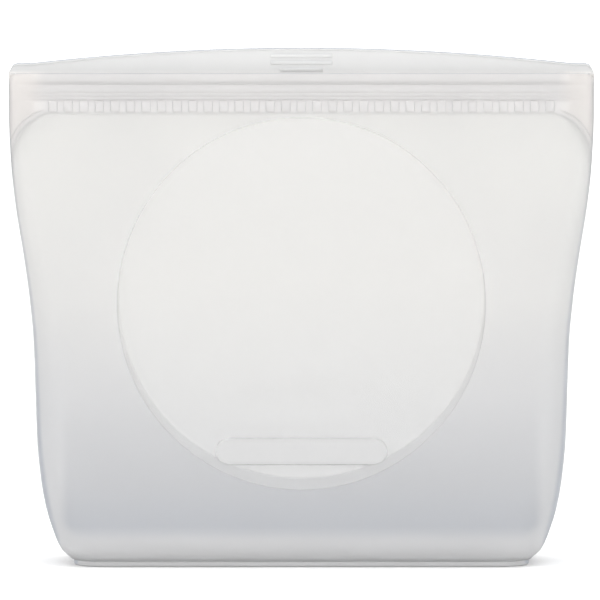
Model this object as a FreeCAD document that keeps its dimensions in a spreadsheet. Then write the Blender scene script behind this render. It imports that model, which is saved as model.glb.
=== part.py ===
"""Stand-up silicone food bag with a zip top, about one litre.

Millimetres. +X runs along the zip, -Y is the front, +Z is up. The origin is the middle of the
footprint, on the surface that the bag stands on.

The bag is one translucent silicone skin. Two lofts through rounded rectangles give its outer and
inner forms, and every panel is the stretch of that skin inside its own outline, so neighbours
follow each other with an even gap. The zip, lips, flap and base are separate bands.
"""
import FreeCAD, Part

import math
import os

import Sketcher

PARTS_FOLDER = "parts"

# The sections of the skin, from the base up: height, half width, half depth, corner radius.
SECTIONS = [
    (2.0, 81.0, 21.5, 11.0),
    (6.0, 86.0, 26.0, 14.0),
    (14.0, 89.5, 28.0, 15.5),
    (30.0, 93.4, 25.2, 14.0),
    (62.0, 95.4, 19.4, 11.5),
    (95.0, 97.6, 13.6, 9.0),
    (130.0, 102.8, 7.8, 6.4),
    (161.5, 105.0, 3.4, 3.2),
]

DIMENSIONS = {
    # the skin
    "wall": 1.5,
    "floor": 2.0,
    "gap": 0.3,
    "seat": 0.05,
    "reach": 40.0,
    "side_reach": 90.0,
    # the tray and the two walls that swing from its rim
    "rim_height": 24.0,
    "panel_top": 161.5,
    "panel_margin": 8.6,
    "panel_foot_inset": 1.2,
    "window_height": 94.0,
    "window_radius": 66.0,
    # the base plate
    "base_half_x": 79.0,
    "base_half_y": 20.0,
    "base_corner": 10.0,
    "base_thick": 1.9,
    "base_edge": 0.7,
    # bands beside the zip
    "band_half_x": 96.8,
    "band_out": 3.2,
    "band_in": 1.9,
    "band_bottom": 161.8,
    "front_band_top": 173.6,
    "back_band_top": 175.5,
    # the zip
    "zip_half_x": 96.0,
    "zip_bottom": 165.6,
    "zip_top": 173.0,
    "zip_face": 0.15,
    "groove_low": 167.6,
    "groove_pitch": 3.4,
    "groove_depth": 1.4,
    "groove_half": 0.95,
    "tongue_root": 0.5,
    "tongue_tip": 0.3,
    "tongue_reach": 1.2,
    # the front lip
    "lip_half_x": 96.0,
    "lip_bottom": 173.75,
    "lip_top": 175.8,
    "lip_out": 3.6,
    "lip_in": 1.6,
    "lip_edge": 0.7,
    # the row of pinch blocks
    "block_count": 33.0,
    "block_pitch": 5.57,
    "block_half_x": 1.65,
    "block_bottom": 161.9,
    "block_tall": 4.2,
    "block_proud": 0.5,
    "carrier_half_x": 92.0,
    "carrier_thick": 0.3,
    # the pull flap
    "flap_bottom": 175.75,
    "flap_end_top": 179.3,
    "flap_top": 184.8,
    "tab_half_x": 36.0,
    "flap_out": 3.2,
    "flap_in": 1.9,
    "flap_foot_round": 0.63,
    "bead_tall": 1.6,
    "bead_proud": 0.35,
    "bead_round": 0.4,
    "bead_clear": 0.02,
    "grip_half_x": 11.0,
    "grip_short_half_x": 7.75,
    "grip_tall": 1.25,
    "grip_pitch": 2.5,
    "grip_bottom": 176.3,
    "grip_proud": 0.55,
    # the ears
    "ear_half_y": 3.2,
    "ear_inner_x": 97.1,
    "ear_outer_x": 105.0,
    "ear_top": 179.2,
    "ear_corner": 3.0,
    "ear_bevel": 0.9,
    "ear_slope": 0.1,
    "weld_inner_drop": 2.6,
    "weld_middle_drop": 8.6,
    "weld_middle_inset": 4.4,
    "weld_outer_drop": 15.5,
    "weld_outer_inset": 2.2,
    # the plain raised bar on the front window
    "label_half_x": 30.5,
    "label_half_z": 4.6,
    "label_height": 41.5,
    "label_thick": 0.5,
    "label_clear": 0.1,
}

doc = FreeCAD.newDocument("SiliconeBag")


def make_sheet():
    """The sheet of driving dimensions, one alias a row."""
    sheet = doc.addObject("Spreadsheet::Sheet", "Dims")
    rows = dict(DIMENSIONS)
    for number, section in enumerate(SECTIONS):
        for word, value in zip(("height", "half_x", "half_y", "corner"), section):
            rows[f"section_{number}_{word}"] = value
    for row, (alias, value) in enumerate(rows.items(), start=1):
        sheet.set(f"A{row}", alias)
        sheet.set(f"B{row}", str(value))
        sheet.setAlias(f"B{row}", alias)
    doc.recompute()
    return sheet


sheet = make_sheet()


def value_of(expression):
    """The present value of an expression on the sheet, in mm."""
    result = sheet.evalExpression(expression.replace("Dims.", ""))
    return float(getattr(result, "Value", result))


def drive(sketch, constraint, name, expression):
    """Adds a dimension to a sketch and binds it to the sheet."""
    index = sketch.addConstraint(constraint)
    sketch.renameConstraint(index, name)
    sketch.setExpression(f"Constraints.{name}", expression)


def draw_rounded_rectangle(sketch, half_x, half_y, corner):
    """A centred rounded rectangle, its three sizes given as expressions."""
    x, y, r = value_of(half_x), value_of(half_y), value_of(corner)
    vector = FreeCAD.Vector
    quarter = math.pi / 2
    lines = [
        ((x - r, -y), (-x + r, -y)),
        ((-x, -y + r), (-x, y - r)),
        ((-x + r, y), (x - r, y)),
        ((x, y - r), (x, -y + r)),
    ]
    centres = [(-x + r, -y + r), (-x + r, y - r), (x - r, y - r), (x - r, -y + r)]
    for start, end in lines:
        sketch.addGeometry(Part.LineSegment(vector(*start, 0), vector(*end, 0)))
    for turn, centre in zip((2, 1, 0, 3), centres):
        circle = Part.Circle(vector(*centre, 0), vector(0, 0, 1), r)
        sketch.addGeometry(Part.ArcOfCircle(circle, turn * quarter, (turn + 1) * quarter))
    # each corner arc meets the end of its line and the start of the next one
    for side in range(4):
        arc = side + 4
        sketch.addConstraint(Sketcher.Constraint("Tangent", side, 2, arc, 2))
        sketch.addConstraint(Sketcher.Constraint("Tangent", arc, 1, (side + 1) % 4, 1))
    for side in range(1, 4):
        sketch.addConstraint(Sketcher.Constraint("Equal", 4, side + 4))
    sketch.addConstraint(Sketcher.Constraint("Horizontal", 0))
    sketch.addConstraint(Sketcher.Constraint("Vertical", 1))
    for arc, sign in ((4, -1), (6, 1)):
        across = Sketcher.Constraint("DistanceX", -1, 1, arc, 3, sign * (x - r))
        drive(sketch, across, f"centre_x_{arc}", f"{sign} * ({half_x} - ({corner}))")
        up = Sketcher.Constraint("DistanceY", -1, 1, arc, 3, sign * (y - r))
        drive(sketch, up, f"centre_y_{arc}", f"{sign} * ({half_y} - ({corner}))")
    drive(sketch, Sketcher.Constraint("Radius", 4, r), "corner", corner)


def draw_outline(sketch, points):
    """A closed outline of straight edges, each corner given as a pair of expressions."""
    places = [FreeCAD.Vector(value_of(x), value_of(y), 0) for x, y in points]
    count = len(points)
    for number in range(count):
        sketch.addGeometry(Part.LineSegment(places[number], places[(number + 1) % count]))
    for number in range(count):
        after = (number + 1) % count
        sketch.addConstraint(Sketcher.Constraint("Coincident", number, 2, after, 1))
    for number, (x, y) in enumerate(points):
        place = places[number]
        across = Sketcher.Constraint("DistanceX", -1, 1, number, 1, place.x)
        drive(sketch, across, f"x_{number}", x)
        up = Sketcher.Constraint("DistanceY", -1, 1, number, 1, place.y)
        drive(sketch, up, f"y_{number}", y)


def origin_plane(body, role):
    """One of a body's own origin planes, by its role."""
    return next(f for f in body.Origin.OriginFeatures if f.Role == role)


def new_body(label):
    """An empty PartDesign body that becomes the sub-part of that name."""
    body = doc.addObject("PartDesign::Body", label)
    body.Label = label
    return body


def new_sketch(body, role, name):
    """A sketch on one of a body's own origin planes."""
    sketch = body.newObject("Sketcher::SketchObject", f"{body.Name}_{name}")
    sketch.AttachmentSupport = (origin_plane(body, role), [""])
    sketch.MapMode = "FlatFace"
    return sketch


def pad(body, sketch, length, both_ways=False, reverse=False):
    """A pad of a sketch by a length on the sheet."""
    feature = body.newObject("PartDesign::Pad", f"{sketch.Name}_pad")
    feature.Profile = sketch
    feature.SideType = "Symmetric" if both_ways else "One side"
    feature.Reversed = reverse
    feature.setExpression("Length", length)
    body.Tip = feature
    return feature


def round_edges(body, base, radius, chosen):
    """A fillet on the edges of a feature that the test picks."""
    doc.recompute()
    names = [f"Edge{i}" for i, e in enumerate(base.Shape.Edges, start=1) if chosen(e)]
    fillet = body.newObject("PartDesign::Fillet", f"{body.Name}_round")
    fillet.Base = (base, names)
    fillet.setExpression("Radius", radius)
    body.Tip = fillet
    return fillet


def edge_at(edge, axis, value, slack=0.01):
    """Whether every end of an edge lies at that coordinate."""
    return all(abs(getattr(v.Point, axis) - value) < slack for v in edge.Vertexes)


def runs_along_x(edge):
    """Whether an edge is straight and lies along X."""
    first, last = edge.Vertexes[0].Point, edge.Vertexes[-1].Point
    return abs(first.y - last.y) < 0.01 and abs(first.z - last.z) < 0.01


def extrusion(name, sketch, away, length):
    """A solid extrusion of a free-standing sketch, towards a direction."""
    solid = doc.addObject("Part::Extrusion", name)
    solid.Base = sketch
    solid.DirMode = "Custom"
    solid.Dir = away
    solid.Solid = True
    solid.setExpression("LengthFwd", length)
    return solid


def upright_sketch(name, points):
    """A free-standing outline in the XZ plane, x to the right and z up."""
    sketch = doc.addObject("Sketcher::SketchObject", name)
    upright = FreeCAD.Rotation(FreeCAD.Vector(1, 0, 0), 90)
    sketch.Placement = FreeCAD.Placement(FreeCAD.Vector(0, 0, 0), upright)
    draw_outline(sketch, points)
    return sketch


def common(label, base, tool):
    """What two solids share."""
    shared = doc.addObject("Part::Common", label)
    shared.Label = label
    shared.Base = base
    shared.Tool = tool
    return shared


def cut(label, base, tool):
    """One solid less another."""
    rest = doc.addObject("Part::Cut", label)
    rest.Label = label
    rest.Base = base
    rest.Tool = tool
    return rest


# ---- the skin ---------------------------------------------------------------------------------


def make_form(name, inset, floor, numbers):
    """A solid loft through some of the bag's sections, drawn in by an inset, on a raised floor."""
    sketches = []
    for number in numbers:
        section = f"Dims.section_{number}"
        sketch = doc.addObject("Sketcher::SketchObject", f"{name}_section_{number}")
        lift = f" + {floor}" if number == 0 else ""
        sketch.setExpression(".Placement.Base.z", f"{section}_height{lift}")
        draw_rounded_rectangle(
            sketch,
            f"{section}_half_x - {inset}",
            f"{section}_half_y - {inset}",
            f"{section}_corner - {inset}",
        )
        sketches.append(sketch)
    form = doc.addObject("Part::Loft", name)
    form.Sections = sketches
    form.Solid = True
    form.Ruled = False
    form.MaxDegree = 3
    return form


every_section = range(len(SECTIONS))
outer_form = make_form("outer_form", "0.0", "0.0", every_section)
# the second section is left out inside, so the lower corner is thicker than the wall
inner_form = make_form("inner_form", "Dims.wall", "Dims.floor", [n for n in every_section if n != 1])
skin = cut("skin", outer_form, inner_form)


def panel_edge(number, grow):
    """A point on the right edge of the front and back panels, beside one section."""
    section = f"Dims.section_{number}"
    return (f"{section}_half_x - Dims.panel_margin + {grow}", f"{section}_height")


def panel_outline(grow):
    """The outline shared by the front and back panels: an S-curve up each side."""
    low = f"Dims.rim_height + Dims.gap - {grow}"
    first = "Dims.section_3_half_x - Dims.panel_foot_inset - Dims.panel_margin"
    right = [(f"{first} + {grow}", low)]
    right += [panel_edge(number, grow) for number in range(3, len(SECTIONS) - 1)]
    right.append((f"Dims.band_half_x + {grow}", f"Dims.panel_top + {grow}"))
    left = [(f"-({x})", z) for x, z in reversed(right)]
    return right + left


def make_walls():
    """The front and back panels, and the round window in each."""
    outline = upright_sketch("panel_outline", panel_outline("0.0"))
    window_tool = doc.addObject("Part::Cylinder", "window_tool")
    window_tool.setExpression("Radius", "Dims.window_radius")
    window_tool.setExpression("Height", "2 * Dims.reach")
    along_y = FreeCAD.Rotation(FreeCAD.Vector(1, 0, 0), 90)
    window_tool.Placement = FreeCAD.Placement(FreeCAD.Vector(0, 0, 0), along_y)
    window_tool.setExpression(".Placement.Base.y", "Dims.reach")
    window_tool.setExpression(".Placement.Base.z", "Dims.window_height")
    made = []
    for side, direction in (("front", -1), ("back", 1)):
        away = FreeCAD.Vector(0, direction, 0)
        slab = extrusion(f"{side}_slab", outline, away, "Dims.reach")
        whole = common(f"{side}_whole", skin, slab)
        made.append(cut(f"{side}_panel", whole, window_tool))
        made.append(common(f"{side}_window", whole, window_tool))
    return made


def make_side_walls():
    """The folded side walls, from the tray's rim to the ears."""
    clearance = upright_sketch("panel_clearance", panel_outline("Dims.gap"))
    span = extrusion("panel_span", clearance, FreeCAD.Vector(0, -1, 0), "2 * Dims.reach")
    span.setExpression("LengthRev", "Dims.reach")
    sides = cut("sides_whole", skin, span)
    made = []
    for side, sign in (("left", "-"), ("right", "")):
        block = doc.addObject("Part::Box", f"{side}_block")
        block.setExpression("Length", "Dims.side_reach")
        block.setExpression("Width", "2 * Dims.reach")
        block.setExpression("Height", "Dims.panel_top - Dims.rim_height")
        start = "-1.5 * Dims.ear_outer_x" if sign else "1.5 * Dims.ear_outer_x - Dims.side_reach"
        block.setExpression(".Placement.Base.x", start)
        block.setExpression(".Placement.Base.y", "-Dims.reach")
        block.setExpression(".Placement.Base.z", "Dims.rim_height")
        made.append(common(f"{side}_side_wall", sides, block))
    return made


def make_tray():
    """The bottom of the bag, floor and rounded lower corners together."""
    block = doc.addObject("Part::Box", "tray_block")
    block.setExpression("Length", "3 * Dims.ear_outer_x")
    block.setExpression("Width", "2 * Dims.reach")
    block.setExpression("Height", "Dims.rim_height - Dims.seat")
    block.setExpression(".Placement.Base.x", "-1.5 * Dims.ear_outer_x")
    block.setExpression(".Placement.Base.y", "-Dims.reach")
    return [common("bottom_tray", skin, block)]


def make_base_plate():
    """The flat foot under the tray, its lower edge rounded."""
    body = new_body("base_plate")
    sketch = new_sketch(body, "XY_Plane", "outline")
    draw_rounded_rectangle(sketch, "Dims.base_half_x", "Dims.base_half_y", "Dims.base_corner")
    plate = pad(body, sketch, "Dims.base_thick")
    round_edges(body, plate, "Dims.base_edge", lambda e: edge_at(e, "z", 0))
    return [body]


# ---- the zip ----------------------------------------------------------------------------------


def box_body(label, half_x, y_low, y_high, z_low, z_high):
    """A band that runs along X, from its cross-section."""
    body = new_body(label)
    sketch = new_sketch(body, "YZ_Plane", "section")
    draw_outline(sketch, [(y_low, z_low), (y_high, z_low), (y_high, z_high), (y_low, z_high)])
    band = pad(body, sketch, f"2 * {half_x}", both_ways=True)
    return body, band


def make_bands():
    """The two flat bands that carry the zip."""
    front, _ = box_body("front_zip_band", "Dims.band_half_x", "-Dims.band_out",
                        "-Dims.band_in", "Dims.band_bottom", "Dims.front_band_top")
    back, _ = box_body("back_zip_band", "Dims.band_half_x", "Dims.band_in",
                       "Dims.band_out", "Dims.band_bottom", "Dims.back_band_top")
    return [front, back]


def make_zip_channel():
    """The front half of the zip: a bar with two grooves that open to the back."""
    body = new_body("front_zip_channel")
    sketch = new_sketch(body, "YZ_Plane", "section")
    outer, face = "-Dims.band_in", "-Dims.zip_face"
    depth = "-Dims.zip_face - Dims.groove_depth"
    points = [(outer, "Dims.zip_top"), (outer, "Dims.zip_bottom"), (face, "Dims.zip_bottom")]
    for groove in range(2):
        middle = f"Dims.groove_low + {groove} * Dims.groove_pitch"
        low, high = f"{middle} - Dims.groove_half", f"{middle} + Dims.groove_half"
        points += [(face, low), (depth, low), (depth, high), (face, high)]
    points.append((face, "Dims.zip_top"))
    draw_outline(sketch, points)
    pad(body, sketch, "2 * Dims.zip_half_x", both_ways=True)
    return [body]


def make_zip_tongues():
    """The back half of the zip: a bar with two tapered tongues that reach into the grooves."""
    body = new_body("back_zip_tongues")
    sketch = new_sketch(body, "YZ_Plane", "section")
    outer, face = "Dims.band_in", "Dims.zip_face"
    tip = "Dims.zip_face - Dims.tongue_reach - 2 * Dims.zip_face"
    points = [(outer, "Dims.zip_top"), (outer, "Dims.zip_bottom"), (face, "Dims.zip_bottom")]
    for tongue in range(2):
        middle = f"Dims.groove_low + {tongue} * Dims.groove_pitch"
        points += [
            (face, f"{middle} - Dims.tongue_root"),
            (tip, f"{middle} - Dims.tongue_tip"),
            (tip, f"{middle} + Dims.tongue_tip"),
            (face, f"{middle} + Dims.tongue_root"),
        ]
    points.append((face, "Dims.zip_top"))
    draw_outline(sketch, points)
    pad(body, sketch, "2 * Dims.zip_half_x", both_ways=True)
    return [body]


def make_front_lip():
    """The front pull lip: a rounded bead above the zip."""
    body, bar = box_body("front_lip", "Dims.lip_half_x", "-Dims.lip_out", "-Dims.lip_in",
                         "Dims.lip_bottom", "Dims.lip_top")
    round_edges(body, bar, "Dims.lip_edge", runs_along_x)
    return [body]


def make_pinch_row():
    """The row of small raised blocks under the zip, on one thin carrier strip."""
    body = new_body("front_pinch_row")
    strip = new_sketch(body, "XZ_Plane", "strip")
    low, high = "Dims.block_bottom", "Dims.block_bottom + Dims.block_tall"
    half = "Dims.carrier_half_x"
    draw_outline(strip, [(f"-{half}", low), (half, low), (half, high), (f"-{half}", high)])
    pad(body, strip, "Dims.carrier_thick")
    sketch = new_sketch(body, "XZ_Plane", "block")
    first = "-(Dims.block_count - 1) / 2 * Dims.block_pitch"
    left, right = f"{first} - Dims.block_half_x", f"{first} + Dims.block_half_x"
    draw_outline(sketch, [(left, low), (right, low), (right, high), (left, high)])
    block = pad(body, sketch, "Dims.carrier_thick + Dims.block_proud")
    doc.recompute()
    row = body.newObject("PartDesign::LinearPattern", "pinch_row_pattern")
    row.Originals = [block]
    row.Direction = (strip, ["H_Axis"])
    row.setExpression("Length", "(Dims.block_count - 1) * Dims.block_pitch")
    row.setExpression("Occurrences", "Dims.block_count")
    body.Tip = row
    body.setExpression(".Placement.Base.y", "-Dims.band_out - Dims.seat")
    return [body]


# ---- the pull flap ----------------------------------------------------------------------------


# The flap's top edge is one arc over the whole width, from end to end of the zip band.
ARCH_RISE = "(Dims.flap_top - Dims.flap_end_top)"
ARCH_RADIUS = (f"(({ARCH_RISE} * {ARCH_RISE} + Dims.band_half_x * Dims.band_half_x)"
               f" / (2 * {ARCH_RISE}))")


def draw_arch(sketch, x_low, x_high, drop):
    """A stretch of the arch between two distances along the zip, lowered by a drop."""
    radius = value_of(ARCH_RADIUS)
    centre_z = f"Dims.flap_top - {drop} - {ARCH_RADIUS}"
    centre = FreeCAD.Vector(0, value_of(centre_z), 0)
    start = math.acos(value_of(x_high) / radius)
    end = math.acos(value_of(x_low) / radius)
    circle = Part.Circle(centre, FreeCAD.Vector(0, 0, 1), radius)
    arc = sketch.addGeometry(Part.ArcOfCircle(circle, start, end))
    sketch.addConstraint(Sketcher.Constraint("PointOnObject", arc, 3, -2))
    drive(sketch, Sketcher.Constraint("DistanceY", -1, 1, arc, 3, centre.y),
          f"arch_{arc}_centre", centre_z)
    drive(sketch, Sketcher.Constraint("Radius", arc, radius), f"arch_{arc}_radius", ARCH_RADIUS)
    drive(sketch, Sketcher.Constraint("DistanceX", -1, 1, arc, 1, value_of(x_high)),
          f"arch_{arc}_high", x_high)
    drive(sketch, Sketcher.Constraint("DistanceX", -1, 1, arc, 2, value_of(x_low)),
          f"arch_{arc}_low", x_low)
    return arc


def join_ends(sketch, first, first_end, second, second_end):
    """A straight edge from the end of one curve to the end of another."""
    start = sketch.getPoint(first, first_end)
    finish = sketch.getPoint(second, second_end)
    line = sketch.addGeometry(Part.LineSegment(start, finish))
    sketch.addConstraint(Sketcher.Constraint("Coincident", line, 1, first, first_end))
    sketch.addConstraint(Sketcher.Constraint("Coincident", line, 2, second, second_end))


def draw_web(sketch, x_low, x_high, foot):
    """A stretch of the flap, from its foot up to the underside of the edge bead."""
    arc = draw_arch(sketch, x_low, x_high, "Dims.bead_tall")
    low, high, z = value_of(x_low), value_of(x_high), value_of(foot)
    base = sketch.addGeometry(
        Part.LineSegment(FreeCAD.Vector(low, z, 0), FreeCAD.Vector(high, z, 0)))
    sketch.addConstraint(Sketcher.Constraint("Horizontal", base))
    drive(sketch, Sketcher.Constraint("DistanceX", -1, 1, base, 1, low), "foot_low", x_low)
    drive(sketch, Sketcher.Constraint("DistanceX", -1, 1, base, 2, high), "foot_high", x_high)
    drive(sketch, Sketcher.Constraint("DistanceY", -1, 1, base, 2, z), "foot_z", foot)
    join_ends(sketch, arc, 2, base, 1)
    join_ends(sketch, base, 2, arc, 1)


def draw_bead(sketch, x_low, x_high, drop):
    """A stretch of the bead along the arch, its underside lowered by a drop."""
    low = draw_arch(sketch, x_low, x_high, drop)
    high = draw_arch(sketch, x_low, x_high, "0.0")
    join_ends(sketch, low, 1, high, 1)
    join_ends(sketch, high, 2, low, 2)


BEAD_THICK = "Dims.flap_out - Dims.flap_in + 2 * Dims.bead_proud"


def make_pull_tab():
    """The middle of the flap, which bends under the thumb: a web that is full round at its foot."""
    body = new_body("pull_tab")
    sketch = new_sketch(body, "XZ_Plane", "outline")
    draw_web(sketch, "-Dims.tab_half_x", "Dims.tab_half_x", "Dims.flap_bottom")
    web = pad(body, sketch, "Dims.flap_out - Dims.flap_in")
    foot = value_of("Dims.flap_bottom")
    round_edges(body, web, "Dims.flap_foot_round",
                lambda e: edge_at(e, "z", foot) and runs_along_x(e))
    body.setExpression(".Placement.Base.y", "Dims.flap_out")
    return [body]


def make_tab_bead():
    """The thicker bead along the arched edge of the pull tab."""
    body = new_body("tab_edge_bead")
    sketch = new_sketch(body, "XZ_Plane", "outline")
    draw_bead(sketch, "-Dims.tab_half_x", "Dims.tab_half_x", "(Dims.bead_tall - Dims.bead_clear)")
    bead = pad(body, sketch, BEAD_THICK)
    crown = value_of("Dims.flap_top")
    round_edges(body, bead, "Dims.bead_round",
                lambda e: abs(e.BoundBox.ZMax - crown) < 0.01 and e.Length > crown / 4)
    body.setExpression(".Placement.Base.y", "Dims.flap_out + Dims.bead_proud")
    return [body]


def make_flap_wings():
    """The two ends of the flap, beside the pull tab, each with its stretch of the edge bead."""
    made = []
    tab_side, end = "Dims.tab_half_x + Dims.gap", "Dims.band_half_x"
    for side, low, high in (("left", f"-({end})", f"-({tab_side})"),
                            ("right", tab_side, end)):
        body = new_body(f"{side}_flap_wing")
        web = new_sketch(body, "XZ_Plane", "web")
        draw_web(web, low, high, "Dims.back_band_top + Dims.seat")
        web.setExpression(".AttachmentOffset.Base.z", "Dims.bead_proud")
        pad(body, web, "Dims.flap_out - Dims.flap_in")
        bead = new_sketch(body, "XZ_Plane", "bead")
        draw_bead(bead, low, high, "Dims.bead_tall")
        pad(body, bead, BEAD_THICK)
        body.setExpression(".Placement.Base.y", "Dims.flap_out + Dims.bead_proud")
        made.append(body)
    return made


def make_grip_ribs():
    """Three raised ribs for the thumb, the lowest one shorter, as one group of solids."""
    ribs = []
    for number in range(3):
        rib = doc.addObject("Part::Box", f"grip_rib_{number}")
        half = "Dims.grip_short_half_x" if number == 0 else "Dims.grip_half_x"
        rib.setExpression("Length", f"2 * {half}")
        rib.setExpression("Width", "Dims.grip_proud")
        rib.setExpression("Height", "Dims.grip_tall")
        rib.setExpression(".Placement.Base.x", f"-{half}")
        rib.setExpression(".Placement.Base.y", "Dims.flap_in - Dims.grip_proud - Dims.bead_clear")
        rib.setExpression(".Placement.Base.z",
                          f"Dims.grip_bottom + {number} * Dims.grip_pitch")
        ribs.append(rib)
    group = doc.addObject("Part::MultiFuse", "flap_grip_ribs")
    group.Label = "flap_grip_ribs"
    group.Shapes = ribs
    return [group]


# ---- the ears ---------------------------------------------------------------------------------


def make_ears():
    """The solid ends of the zip, each with the welded corner of the pocket under it."""
    made = []
    for side, sign in (("left", "-"), ("right", "")):
        inner, outer = f"{sign}Dims.ear_inner_x", f"{sign}Dims.ear_outer_x"
        cut_x = f"{sign}(Dims.ear_outer_x - Dims.ear_corner)"
        blade_sketch = upright_sketch(f"{side}_blade_outline", [
            (inner, "Dims.panel_top"),
            (outer, "Dims.panel_top"),
            (outer, "Dims.ear_top - Dims.ear_corner"),
            (f"{sign}(Dims.ear_outer_x - Dims.ear_bevel)", "Dims.ear_top - Dims.ear_bevel"),
            (cut_x, "Dims.ear_top - Dims.ear_slope"),
            (inner, "Dims.ear_top"),
        ])
        blade = extrusion(f"{side}_blade", blade_sketch, FreeCAD.Vector(0, -1, 0),
                          "Dims.ear_half_y")
        blade.setExpression("LengthRev", "Dims.ear_half_y")
        weld_sketch = upright_sketch(f"{side}_weld_outline", [
            (inner, "Dims.panel_top - Dims.weld_inner_drop"),
            (inner, "Dims.panel_top"),
            (outer, "Dims.panel_top"),
            (outer, "Dims.panel_top - Dims.weld_outer_drop"),
            (f"{sign}(Dims.ear_outer_x - Dims.weld_outer_inset)",
             "Dims.panel_top - Dims.weld_outer_drop"),
            (f"{sign}(Dims.ear_outer_x - Dims.weld_middle_inset)",
             "Dims.panel_top - Dims.weld_middle_drop"),
        ])
        plug = extrusion(f"{side}_plug", weld_sketch, FreeCAD.Vector(0, -1, 0),
                         "Dims.reach")
        plug.setExpression("LengthRev", "Dims.reach")
        weld = common(f"{side}_weld", inner_form, plug)
        ear = doc.addObject("Part::Fuse", f"{side}_ear")
        ear.Label = f"{side}_ear"
        ear.Base = blade
        ear.Tool = weld
        made.append(ear)
    return made


def make_label_bar():
    """A plain raised bar with round ends, lying on the front window."""
    body = new_body("label_bar")
    sketch = new_sketch(body, "XY_Plane", "outline")
    draw_rounded_rectangle(sketch, "Dims.label_half_x", "Dims.label_half_z",
                           "Dims.label_half_z - 0.1")
    pad(body, sketch, "Dims.label_thick")
    return [body]


def lean_label(body):
    """Turns the label bar to lie on the window, just clear of it."""
    height = value_of("Dims.label_height")
    step = value_of("Dims.label_half_z")
    reach = value_of("Dims.reach")
    window = doc.getObject("front_window").Shape
    hits = []
    for z in (height - step, height, height + step):
        probe = Part.makeLine(FreeCAD.Vector(0, -reach, z), FreeCAD.Vector(0, 0, z))
        shared = window.common(probe)
        hits.append(min(v.Point.y for v in shared.Vertexes))
    lean = FreeCAD.Vector(0, hits[2] - hits[0], 2 * step)
    face = FreeCAD.Rotation(FreeCAD.Vector(1, 0, 0), lean, FreeCAD.Vector(0, 0, 0), "XYZ")
    normal = face.multVec(FreeCAD.Vector(0, 0, 1))
    base = FreeCAD.Vector(0, hits[1], height) + normal * value_of("Dims.label_clear")
    body.Placement = FreeCAD.Placement(base, face)


def build():
    """Every sub-part, in the order they are listed in the report."""
    made = []
    made += make_base_plate()
    made += make_tray()
    made += make_side_walls()
    made += make_ears()
    made += make_walls()
    made += make_bands()
    made += make_zip_channel()
    made += make_zip_tongues()
    made += make_front_lip()
    made += make_pinch_row()
    made += make_flap_wings()
    made += make_pull_tab()
    made += make_tab_bead()
    made += make_grip_ribs()
    label = make_label_bar()
    doc.recompute()
    lean_label(label[0])
    made += label
    doc.recompute()
    return made


def check(made):
    """Stops if any object failed, or any sub-part isn't a valid solid."""
    for item in doc.Objects:
        bad = [word for word in item.State if word in ("Invalid", "Error")]
        if bad:
            raise RuntimeError(f"{item.Name} is {bad}")
    for item in made:
        if item.Shape.isNull() or not item.Shape.isValid() or not item.Shape.Solids:
            raise RuntimeError(f"{item.Label} isn't a valid solid")


def write(made):
    """One STEP file a sub-part, named by its label."""
    os.makedirs(PARTS_FOLDER, exist_ok=True)
    for item in made:
        shape = item.Shape
        shape.exportStep(f"{PARTS_FOLDER}/{item.Label}.step")
        box = shape.BoundBox
        print(f"{item.Label:20s} solids {len(shape.Solids)} volume {shape.Volume:9.1f} "
              f"x {box.XMin:7.2f} {box.XMax:7.2f} y {box.YMin:7.2f} {box.YMax:7.2f} "
              f"z {box.ZMin:7.2f} {box.ZMax:7.2f}")


sub_parts = build()
check(sub_parts)
write(sub_parts)
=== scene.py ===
# %% [markdown]
# # A stand-up silicone bag with a press-shut zip
# The bag is moulded in one piece from translucent silicone: a flat foot, a deep rounded tray, two walls
# that lean in to a zip, solid ears at the ends of the zip and a taller flap behind it to pull on.
# Each band of that moulding is a piece here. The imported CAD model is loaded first, as a fixed frame.
# It says where everything is and what moves, and every piece below is placed from it.

# %% Load the frame
import math

import bmesh
import bpy
from mathutils import Matrix, Vector
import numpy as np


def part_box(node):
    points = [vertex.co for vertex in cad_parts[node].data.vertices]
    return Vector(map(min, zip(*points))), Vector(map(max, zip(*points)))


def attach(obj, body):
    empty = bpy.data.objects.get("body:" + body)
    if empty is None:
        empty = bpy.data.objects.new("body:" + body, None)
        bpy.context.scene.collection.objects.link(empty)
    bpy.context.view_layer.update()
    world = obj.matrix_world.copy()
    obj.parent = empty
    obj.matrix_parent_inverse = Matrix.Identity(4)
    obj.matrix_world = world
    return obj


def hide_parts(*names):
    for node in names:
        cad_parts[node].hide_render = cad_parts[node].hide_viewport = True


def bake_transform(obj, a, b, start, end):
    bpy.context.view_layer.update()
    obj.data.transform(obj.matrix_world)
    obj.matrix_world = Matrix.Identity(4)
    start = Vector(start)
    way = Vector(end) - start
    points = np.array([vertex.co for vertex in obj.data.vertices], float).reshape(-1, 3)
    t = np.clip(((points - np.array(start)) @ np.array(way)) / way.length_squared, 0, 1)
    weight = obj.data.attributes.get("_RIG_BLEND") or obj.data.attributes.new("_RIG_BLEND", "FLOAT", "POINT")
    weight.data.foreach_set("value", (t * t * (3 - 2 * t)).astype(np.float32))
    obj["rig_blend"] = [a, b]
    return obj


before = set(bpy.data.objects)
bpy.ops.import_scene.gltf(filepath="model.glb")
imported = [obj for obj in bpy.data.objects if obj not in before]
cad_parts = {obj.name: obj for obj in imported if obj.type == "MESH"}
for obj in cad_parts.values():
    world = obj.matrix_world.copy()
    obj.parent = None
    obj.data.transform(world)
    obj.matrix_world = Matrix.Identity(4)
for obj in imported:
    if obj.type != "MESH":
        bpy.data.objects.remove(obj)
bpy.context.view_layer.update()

# %% [markdown]
# ## Sizes
# Blender works in metres here, and a maker thinks of a bag in millimetres, so lengths are written in
# millimetres and turned into metres once, when a vertex is placed. The bag's plan is a rounded
# rectangle that changes with height. A handful of sections, read off the frame's own loft, is enough:
# between them a smooth curve that never overshoots fills in the rest.

# %% Sections of the bag
MM = 0.001

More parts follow.
